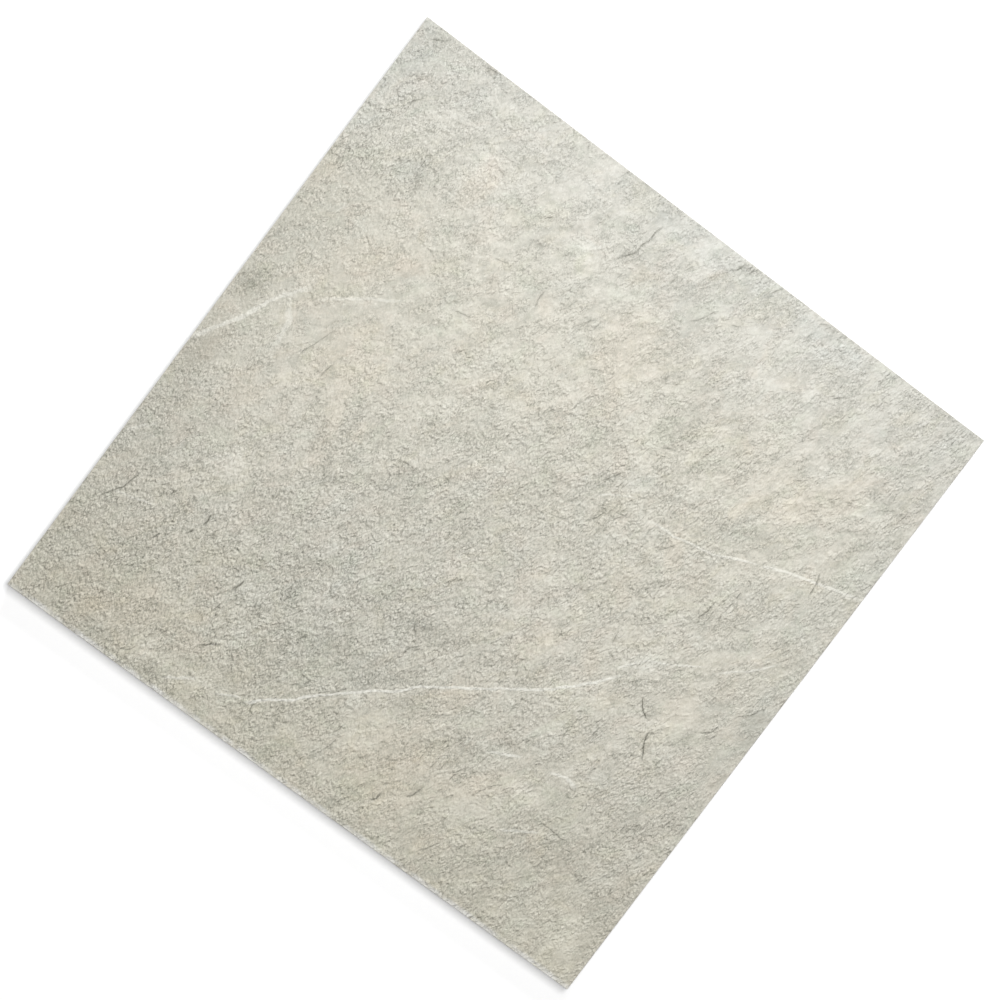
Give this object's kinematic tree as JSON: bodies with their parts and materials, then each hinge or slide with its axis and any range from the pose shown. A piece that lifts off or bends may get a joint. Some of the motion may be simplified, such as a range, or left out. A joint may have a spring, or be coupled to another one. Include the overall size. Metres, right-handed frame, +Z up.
{
  "type": "porcelain patio slab",
  "caption": "Square riven-faced porcelain patio slab with bevelled arrises and a keyed underside, for paving a terrace, path or balcony.",
  "frame": {"origin": "middle of the underside, in the plane of the ribs that the slab bears on", "axes": "+Z up, out of the walking face; +X and +Y square to two neighbouring ground sides"},
  "size_m": [0.6, 0.6, 0.02],
  "materials": {
    "porcelain": "matte"
  },
  "bodies": {
    "root": {"slab": "porcelain"}
  },
  "joints": []
}
